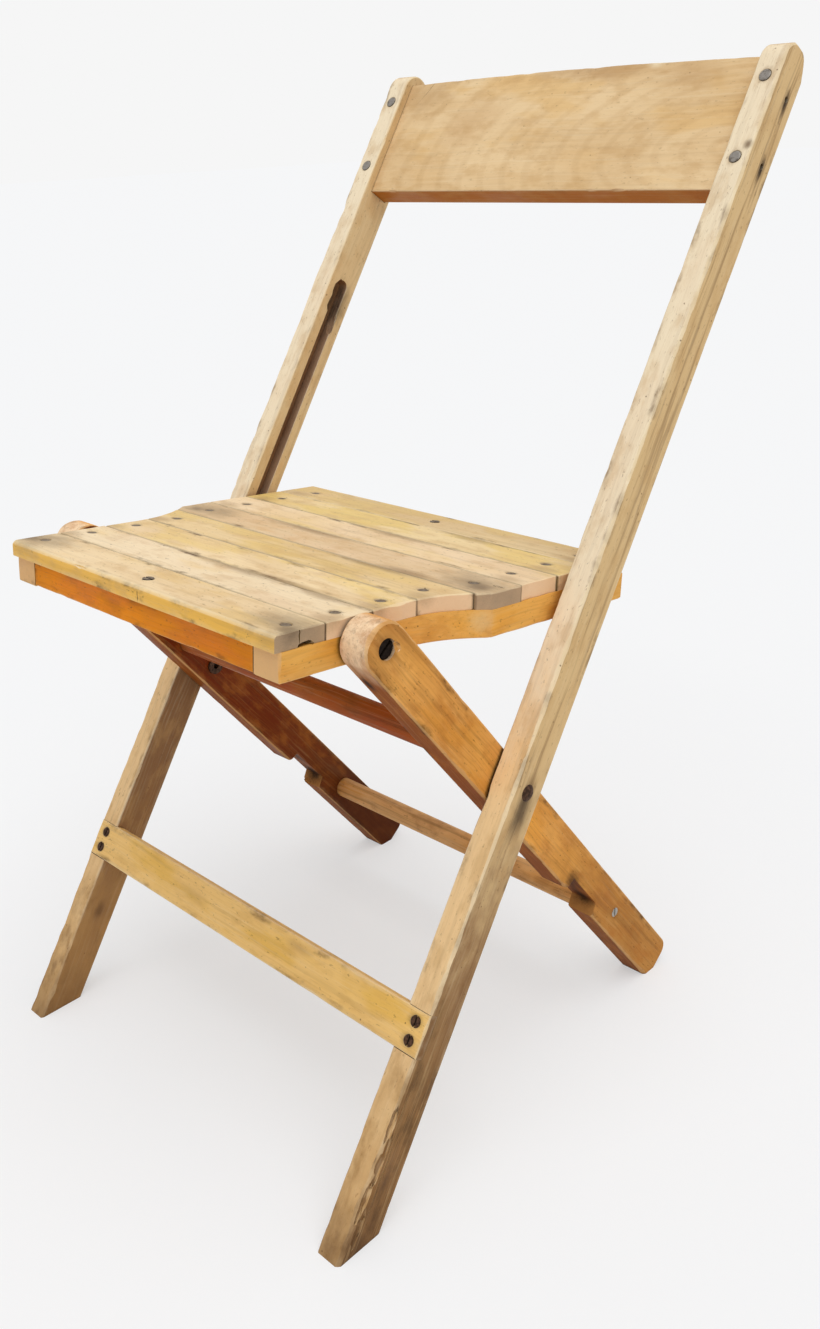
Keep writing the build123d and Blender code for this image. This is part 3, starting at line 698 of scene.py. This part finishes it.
for side, sign in sides:
    outward = acrossChair * sign
    outerFace = -sign * halfThick
    tools = [
        rubbedArris(barEdge(legs, sign * chair["legOuter"], outward, *legs["wearOuter"]), 12.1 + sign),
        rubbedArris(barEdge(legs, sign * chair["legInner"], -outward, *legs["wearInner"]), 17.3 + sign),
    ]
    for up, back, x, halves in legs["notchChips"] + legs["sideChips"][sign]:
        tools.append(gouge(onLeg(up, back, sign * x), legAxes, halves, up / 30 + sign))
    carve("rear_leg_" + side, tools)
    woodNode("rear_leg_" + side, "beechAmberLeg" + side.title(), {
        **legs, "seed": 7.9 + sign, "centre": onLeg(legs["middle"], 0, sign * legMiddle),
        "faces": [
            # painted shade under the seat: the front faces darkened, and the inner faces a dark red varnish
            # darkened further
            tone(-backLeg, "#7c3606", 0.92),
            tone(-outward, "#6c2000", 0.97),
            tone(-upLeg, "#5f3a1c", 0.7),
            tone(outward, "#8a5424", 0.45, run=(205, 265)),
            tone(None, "#7c4a20", 0.54, run=(20, -160)),
            tone(upLeg, "#f8dcb8", 0.9, run=(215, 245)),
            tone((upLeg - backLeg).normalized(), "#f6d8b2", 0.85, run=(225, 250)),
        ],
        "soiledAndShaded": [
            tone(upLeg, "#a3713d", 0.85, run=(150, 60)),
            # the inner face's lower part, darker still as painted shade
            tone(-outward, "#451a04", 0.78, run=(-60, -200)),
        ],
        "stainsAndShade": [
            # round the bolt, the rivet and the dowel's screw, at the knot, then dirt and painted shade in
            # the notch
            ((249, 0, outerFace), 12, 1.2, "#6b3c18", 0.8), ((75, 0, outerFace), 15, 1.5, "#4d2c14", 0.7),
            ((-156, 0, outerFace), 8, 1.4, "#7a4a22", 0.6), ((228, -18, sign * 5), 7, 1.6, "#2c170a", 0.9),
            ((-82, -12, 0), 19, 1.7, "#3a1f0d", 0.95), ((-72, -9, outerFace), 11, 1.5, "#43260f", 0.8),
            ((-116, -7, 0), 16, 1.2, "#2a1508", 0.95),
        ],
    })

dowels = {
    # the upper dowel's tones are darker than the lower one's: painted shade under the seat
    "upper_leg_dowel": (39.5, "#a04e1a", "#9a4310"),
    "lower_leg_dowel": (-231, "#d8a66c", "#cd924e"),
}
for name, (up, bare, varnish) in dowels.items():
    woodNode(name, "birchTurned" + name.split("_")[0].title() + "Dowel", {
        "seed": 11 + up / 40, "along": acrossChair, "wide": backLeg, "centre": onLeg(up, 0, 0),
        "size": (334, 60, 60), "bare": bare, "varnish": varnish, "streak": "#7a4519", "shade": "#7d4a1e",
        "blush": "#b5762f", "weather": 0.35, "speckAmount": 0.8, "dirt": "#4a2c14", "crevice": 6,
        "rubAmount": 0.0, "edgeDirt": 0.0,
    })

rails = {
    "bare": "#ecae55", "varnish": "#e69f36", "streak": "#b06c1e", "varnishLeft": 0.6, "shade": "#c07c2e",
    "blush": "#e8b55c", "endGrain": "#dcb17e", "rubAmount": 0.3, "rubbed": "#e8c78d", "flat": upSeat,
    "dirt": "#5f3612", "gloss": 0.2, "wear": 1.3, "cornerWear": 1.9,
    "soiledAndShaded": [tone(-backSeat, "#8f6c4a", 0.6, through="soil")],
}
for side, sign in sides:
    outward = acrossChair * sign
    lowEdge = []
    for back in evenly(0, chair["seatLength"] + 4):
        half, lean = seatSide(back)
        out = outward * cos(lean) - backSeat * sin(lean)
        lowEdge.append((onSeat(sign * half, back, -chair["railLow"]), out, -upSeat, rails["wear"]))
    corner = []
    for up in evenly(-36, -8, 3):
        at = onSeat(sign * chair["seatFrontHalf"], chair["railSetBack"], up)
        corner.append((at, outward, -backSeat, rails["cornerWear"]))
    carve("seat_rail_" + side, [rubbedArris(lowEdge, 21.7 + sign), rubbedArris(corner, 24.2 + sign)])
    woodNode("seat_rail_" + side, "mapleSawnRail" + side.title(), {
        **rails, "seed": 15.2 + sign, "along": backSeat, "wide": upSeat, "size": (316.5, 20, 80),
        "centre": onSeat(sign * 151, 161.8, -21.5),
        "stainsAndShade": [
            ((-2, 4, 23 * sign), 14, 1.2, "#e3c18a", 0.7), ((-150, -4, 20 * sign), 12, 1.5, "#b0702a", 0.5),
        ],
    })

# Cross rails, sawn a little short of the side rails, so that a dark joint shows
crossRails = {
    "seat_front_rail": 16.5, "seat_rear_rail": 300, "half": 127.5, "depth": 26, "low": -30.5,
    "short": 0.9, "wear": 1.1, "saw": ((-16, -34), (16, -34), (16, -9), (-16, -9)),
}
for name in ("seat_front_rail", "seat_rear_rail"):
    back = crossRails[name]
    tools = []
    for sign in (-1, 1):
        saw = []
        for x in (crossRails["half"] - crossRails["short"], crossRails["half"] + proud):
            saw.append([onSeat(sign * x, back + deep, up) for deep, up in crossRails["saw"]])
        tools.append(rods("endSaw", [saw]))
        at = back + sign * crossRails["depth"] / 2
        edge = []
        for x in evenly(-130, 130, 5):
            edge.append((onSeat(x, at, crossRails["low"]), -upSeat, backSeat * sign, crossRails["wear"]))
        tools.append(rubbedArris(edge, 51.3 + back + sign))
    carve(name, tools)
    woodNode(name, "beechSawn" + name.split("_")[1].title() + "Rail", {
        "seed": 19 + back / 100, "along": acrossChair, "wide": upSeat, "centre": onSeat(0, back, -21),
        "size": (255, 19, 26), "bare": "#e88a12", "varnish": "#e47c00", "varnishLeft": 0.7,
        "streak": "#9c540c", "shade": "#a85f14", "blush": "#d88514", "paleAmount": 0.05,
        "rubbed": "#dca55a", "rubAmount": 0.4, "dirt": "#56300f", "gloss": 0.12, "roughVarnish": 0.4,
    })

slats = {
    "streak": "#c39a60", "streakAmount": 0.16, "pore": "#a67d4c", "poreAmount": 0.18, "endGrain": "#eec59c",
    "rubAmount": 0.45, "rubbed": "#f0dcb4", "shade": "#c7a06c", "cloud": 0.28, "weather": 0.1,
    "dirt": "#5f452c", "edgeDirt": 0.9, "crevice": 3,
    "thick": 11.5, "gap": 0.35, "wear": 0.75, "endWear": 0.9,
    "nosing": (2.8, 0.35),  # wear of the first slat's front arris, and how uneven it is
    "endSaw": (2, 13, 6),  # how far the saw stands above, below and beyond an end
    "rosy": (1, 2, 4), "soiledEnds": (0, 4),  # numbers from the front
    # bare wood, varnish left and its tone, and how far the left and right ends are sawn short
    "tones": [
        ("#f0d6ac", 0.5, "#e8c582", 0.3, 0.9), ("#f2dcb8", 0.3, "#ebcc95", 0.2, 0.2),
        ("#f2d8ac", 0.8, "#ebca7c", 0.8, 0.7), ("#e8cc9c", 0.8, "#e1bf74", 0.4, 1.6),
        ("#e3c69e", 0.3, "#d9b07c", 0.9, 0.2), ("#f1d6b0", 0.5, "#e8c986", 0.3, 1.7),
        ("#ecd2a0", 1.0, "#e3c26e", 0.7, 0.5), ("#dec395", 0.9, "#d8b76e", 0.5, 0.8),
    ],
    "nailReach": [138] * 4 + [148] * 4, "screws": {0: 16.5, 7: 300},
    # grey-brown smears along the joints: across, back from the slat's middle, stretch and tint
    "smears": {
        1: [(20, 18, 9, "#8f7250"), (110, 17, 5, "#8a6c4a")], 2: [(60, -18, 7, "#957650")],
        3: [(70, 18, 8, "#7d6140")], 4: [(100, -17, 5, "#86694a"), (-40, 17, 8, "#8c7050")],
        5: [(20, 18, 7, "#8a6d48")], 6: [(60, 17, 6, "#94774e")],
    },
    # cracks: place, ways down, across and out, then width, length, depth and seed
    "cracks": {0: [
        ((11, 0, -4), (-upSeat, acrossChair, -backSeat), (0.9, 9, 7, 1.7)),
        ((151.5, 19.5, -0.5), (-upSeat, backSeat, acrossChair), (1.2, 12, 9, 4.2)),
    ]},
    # dents: place, half sizes and seed
    "dents": {
        0: [((150.5, 25, -11), (6, 7, 2.6), 5.9), ((-60, 0, -1), (11, 1.6, 1.6), 2.4)],
        4: [((166, 185, 0), (5, 2.2, 1.1), 6.2)],
    },
    "nailSeat": [(-1.1, 3.7), (-0.35, 4.1), (0.1, 4.7), (1, 5)],
    "screwSeat": [(-1.2, 3.4), (-0.6, 4.6), (0.1, 6.2), (1, 7)],
}
top = slats["thick"] / 2
above, below, beyond = slats["endSaw"]
for number, (bare, left, varnish, *shorts) in enumerate(slats["tones"]):
    name = "seat_slat_%d" % (number + 1)
    low = number * chair["slatPitch"] + (slats["gap"] if number else 0)
    high = (number + 1) * chair["slatPitch"] - (slats["gap"] if number < 7 else 0)
    middle = (number + 0.5) * chair["slatPitch"]
    reach = slats["nailReach"][number]
    widest = seatSide(high)[0]
    tools, stainsAndShade = [], []
    rear = (slats["wear"], 1)
    front = rear if number else slats["nosing"]
    for back, face, (wear, rough) in ((low, -backSeat, front), (high, backSeat, rear)):
        edge = [(onSeat(x, back, 0), upSeat, face, wear) for x in evenly(-widest - 4, widest + 4, 5)]
        tools.append(rubbedArris(edge, 31.3 + 1.37 * back, rough))
    for sign, short in zip((-1, 1), shorts):
        ends, saw = [], []
        for back in evenly(low - 3, high + 3, 3):
            half, lean = seatSide(back)
            out = acrossChair * sign * cos(lean) - backSeat * sin(lean)
            inset = short * (0.7 + 0.5 * noise.noise(Vector((back / 16, number * 3.3, sign))))
            at = onSeat(sign * half, back, 0) - out * inset
            ends.append((at, upSeat, out, slats["endWear"]))
            over, under = at + upSeat * above, at - upSeat * below
            saw.append([over, over + out * beyond, under + out * beyond, under])
        tools.append(rods("endSaw", [saw]))
        tools.append(rubbedArris(ends, 41.9 + number * 3.1 + sign))
        tools.append(rods("nailSeat", [turned(onSeat(sign * reach, middle, 0), upSeat, slats["nailSeat"])]))
        stainsAndShade.append(((sign * reach, 0, top), 6.0, 1.3, "#5f4a34", 0.7))
        if number in slats["soiledEnds"]:
            stainsAndShade.append(((sign * (reach + 2), 0, top), 30, 1.7, "#8b7860", 0.65))
            stainsAndShade.append(((sign * (reach + 10), -6, top), 11, 1.2, "#66533f", 0.5))
        else:
            stainsAndShade.append(((sign * (reach + 9), -14, top), 12, 1.8, "#a58763", 0.5))
    for x, back, stretch, tint in slats["smears"].get(number, []):
        stainsAndShade.append(((x, back, top), 9, stretch, tint, 0.6))
    if number in slats["screws"]:
        back = slats["screws"][number]
        tools.append(rods("screwSeat", [turned(onSeat(0, back, 0), upSeat, slats["screwSeat"])]))
        stainsAndShade.append(((0, back - middle, top), 5, 1.2, "#7a5f40", 0.6))
    for at, ways, sizes in slats["cracks"].get(number, []):
        tools.append(crack(onSeat(*at), *ways, *sizes))
    for at, halves, seed in slats["dents"].get(number, []):
        tools.append(gouge(onSeat(*at), seatAxes, halves, seed))
    carve(name, tools)
    woodNode(name, "mapleWornSlat%d" % (number + 1), {
        **slats, "seed": 23.1 + 1.7 * number, "along": acrossChair, "wide": backSeat,
        "centre": onSeat(0, middle, -top), "size": (2 * widest + 30, 39.3, slats["thick"]), "bare": bare,
        "varnishLeft": left, "varnish": varnish, "stainsAndShade": stainsAndShade,
        "blush": "#e8c8a4" if number in slats["rosy"] else "#e6c486",
        "seam": 0.6 if 0 < number < 7 else 0.0,
        "faces": [tone(-backSeat, "#f0b848", 0.9)] if number == 0 else [],
        "soiledAndShaded": [
            tone(acrossChair * sign, "#8f755a", 0.65) for sign in (-1, 1)
        ] if number in slats["soiledEnds"] else [],
    })
print("wood carved and dressed")


# Steel fittings: mill finish gone dull, brown rust in the low spots
def oldSteel(name, clean, rust, share, metallic, rough, shine):
    material = bpy.data.materials.new(name)
    material.use_nodes = True
    tree = material.node_tree
    shader = tree.nodes["Principled BSDF"]
    add = partial(addNode, tree)
    coords = add("TexCoord").outputs["Object"]
    spots = add("TexNoise", {
        "Vector": coords, "Scale": 420.0, "Detail": 4.0, "Roughness": 0.6
    })  # blotches about 2 mm across
    rusty = add("MapRange", {
        "Value": spots, "From Min": 0.72 - 0.5 * share, "From Max": 0.86 - 0.5 * share
    })
    # painted shade: the steel is darkened where ambient occlusion finds it shut in, within 2 mm
    crevice = add("AmbientOcclusion", {"Distance": 2 * mm}, samples=8).outputs["AO"]
    creviceShade = add("MapRange", {"Value": crevice, "From Min": 0.8, "From Max": 0.3})
    colour = srgb(clean)
    for mask, tint in ((rusty, rust), (creviceShade, "#1d140d")):
        colour = add("MixRGB", {"Fac": mask, "Color1": colour, "Color2": srgb(tint)})
    metal = add("MapRange", {"Value": rusty, "To Min": metallic, "To Max": 0.1})
    grit = add("MapRange", {"Value": spots, "To Min": rough - 0.1, "To Max": rough + 0.2})
    bump = add("Bump", {"Height": spots, "Strength": 0.4, "Distance": 0.2 * mm})
    ends = {"Base Color": colour, "Metallic": metal, "Roughness": grit, "Normal": bump}
    for socket, node in ends.items():
        tree.links.new(node.outputs[0], shader.inputs[socket])
    shader.inputs["Specular IOR Level"].default_value = shine
    return material


# Turned fittings: height above the wood and radius at each step. The slat nails' heads are dished and
# driven just under
fittings = {
    "slat_nails": [
        (-28, 0.4), (-26, 1.6), (-1.7, 1.6), (-1.6, 3.3), (-0.8, 3.45), (-0.45, 3.2), (-0.38, 2.7),
        (-0.55, 1.6), (-0.62, 0.4),
    ],
    "back_panel_rivets": [
        (-33.8, 0.5), (-33.8, 3.6), (-33.5, 4.3), (-33, 4.5), (-32.9, 2.3), (-0.1, 2.3), (0, 4.45),
        (0.3, 4.4), (0.6, 4.0), (0.68, 3.2), (0.6, 1.8), (0.5, 0.4),
    ],
}
places = {"slat_nails": [], "back_panel_rivets": []}
for sign in (-1, 1):
    for number, reach in enumerate(slats["nailReach"]):
        places["slat_nails"].append((onSeat(sign * reach, (number + 0.5) * chair["slatPitch"], 0), upSeat))
    for up in posts["rivets"]:
        places["back_panel_rivets"].append((onPost(up, 0, sign * postMiddle), -backPost))
for name, profile in fittings.items():
    piece = rods(name + "_turned", [turned(at, axis, profile) for at, axis in places[name]])
    scene.collection.objects.link(piece)
    smoothShade(piece)
    standFor(piece, name)

finishes = {
    "zincPlatedSteelDull": (("#8d8780", "#5f5347", 0.4, 0.55, 0.46, 0.5), [
        "back_panel_rivets", "leg_spacer_left", "leg_spacer_right",
        "seat_pivot_spacer_left", "seat_pivot_spacer_right",
    ]),
    "mildSteelRustBrown": (("#553a28", "#35200f", 0.6, 0.15, 0.6, 0.25), [
        "stretcher_screws", "leg_pivot_rivet_left", "leg_pivot_rivet_right",
        "slide_pin_left", "slide_pin_right",
    ]),
    # dark iron, painted near black as shade in the recesses where these sit
    "ironDarkPaintedShade": (("#1f1610", "#120c08", 0.5, 0.0, 0.75, 0.1), [
        "back_panel_nails", "seat_pivot_bolt_left", "seat_pivot_bolt_right",
    ]),
    "wireNailSteelTarnished": (("#7d6d59", "#574532", 0.5, 0.4, 0.52, 0.4), [
        "slat_nails", "slat_centre_screws",
    ]),
    "screwSteelRubbedBright": (("#a8a39a", "#77695a", 0.3, 0.6, 0.4, 0.5), ["dowel_screws"]),
}
for finish, (look, names) in finishes.items():
    steel = oldSteel(finish, *look)
    for name in names:
        dress(name, steel)
print("steel dressed")


# 1 where the camera or a mirror looks at the paper or the backdrop, 0 where these light the chair
def lookedAt(tree):
    path = addNode(tree, "LightPath").outputs
    seen = path["Is Camera Ray"]
    for kind in ("Is Glossy Ray", "Is Transmission Ray"):
        seen = addNode(tree, "Math MAXIMUM", {0: seen, 1: path[kind]})
    return seen


# Floor, light and camera
studio = {
    "paper": "#f6f6f6", "floor": "#f0f1f3", "shadowShare": 0.5,
    "skyStrength": 0.6, "sunStrength": 1.5, "sunAngle": 60,
    "sunFrom": Vector((0.25, -0.1, 0.95)),
    "eye": Vector((678.36, -650.64, 702.22)), "yaw": 0.792, "pitch": -0.369, "roll": -0.046,
    "lens": 33.457, "shift": (0.00773, -0.0376),
}
bpy.ops.mesh.primitive_plane_add(size=60, location=(0, 0, 0))
floor = bpy.context.object
floor.name = "studioFloor"
paper = bpy.data.materials.new("mattPaperSweep")
paper.use_nodes = True
paperShader = paper.node_tree.nodes["Principled BSDF"]
paperShader.inputs["Base Color"].default_value = srgb(studio["floor"])
paperShader.inputs["Roughness"].default_value = 1.0
paperShader.inputs["Specular IOR Level"].default_value = 0.0
# the camera sees the plain paper tone mixed with the lit paper, so the shadow stays faint
paperTree = paper.node_tree
plainShare = addNode(paperTree, "Math MULTIPLY", {0: lookedAt(paperTree), 1: 1 - studio["shadowShare"]})
plain = addNode(paperTree, "Emission", {"Color": srgb(studio["paper"]), "Strength": 1.0})
mixed = addNode(paperTree, "MixShader", {0: plainShare, 1: paperShader, 2: plain})
paperTree.links.new(mixed.outputs[0], paperTree.nodes["Material Output"].inputs["Surface"])
floor.data.materials.append(paper)

world = bpy.data.worlds.new("softStudio")
scene.world = world
world.use_nodes = True
sky = world.node_tree
sky.nodes.clear()
glow = addNode(sky, "Background", {"Color": (1, 1, 1, 1), "Strength": studio["skyStrength"]})
backdrop = addNode(sky, "Background", {"Color": srgb(studio["paper"]), "Strength": 1.0})
either = addNode(sky, "MixShader", {0: lookedAt(sky), 1: glow, 2: backdrop})
addNode(sky, "OutputWorld", {"Surface": either})

sun = bpy.data.lights.new("softKey", "SUN")
sun.energy = studio["sunStrength"]
sun.angle = radians(studio["sunAngle"])
sunObject = bpy.data.objects.new("softKey", sun)
sunObject.rotation_euler = studio["sunFrom"].to_track_quat("Z", "Y").to_euler()
scene.collection.objects.link(sunObject)

camera = bpy.data.cameras.new("photoCamera")
camera.lens = studio["lens"]
camera.sensor_width = 36
camera.shift_x, camera.shift_y = studio["shift"]
camera.clip_start = 0.01
cameraObject = bpy.data.objects.new("photoCamera", camera)
levelAhead = Vector((-sin(studio["yaw"]), cos(studio["yaw"]), 0))
levelRight = Vector((cos(studio["yaw"]), sin(studio["yaw"]), 0))
ahead = levelAhead * cos(studio["pitch"]) + Vector((0, 0, 1)) * sin(studio["pitch"])
upright = Vector((0, 0, 1)) * cos(studio["pitch"]) - levelAhead * sin(studio["pitch"])
right = levelRight * cos(studio["roll"]) + upright * sin(studio["roll"])
over = upright * cos(studio["roll"]) - levelRight * sin(studio["roll"])
turn = Matrix((right, over, -ahead)).transposed()
cameraObject.matrix_world = Matrix.Translation(studio["eye"] * mm) @ turn.to_4x4()
scene.collection.objects.link(cameraObject)
scene.camera = cameraObject
scene.view_settings.view_transform = "Standard"
print("studio set")
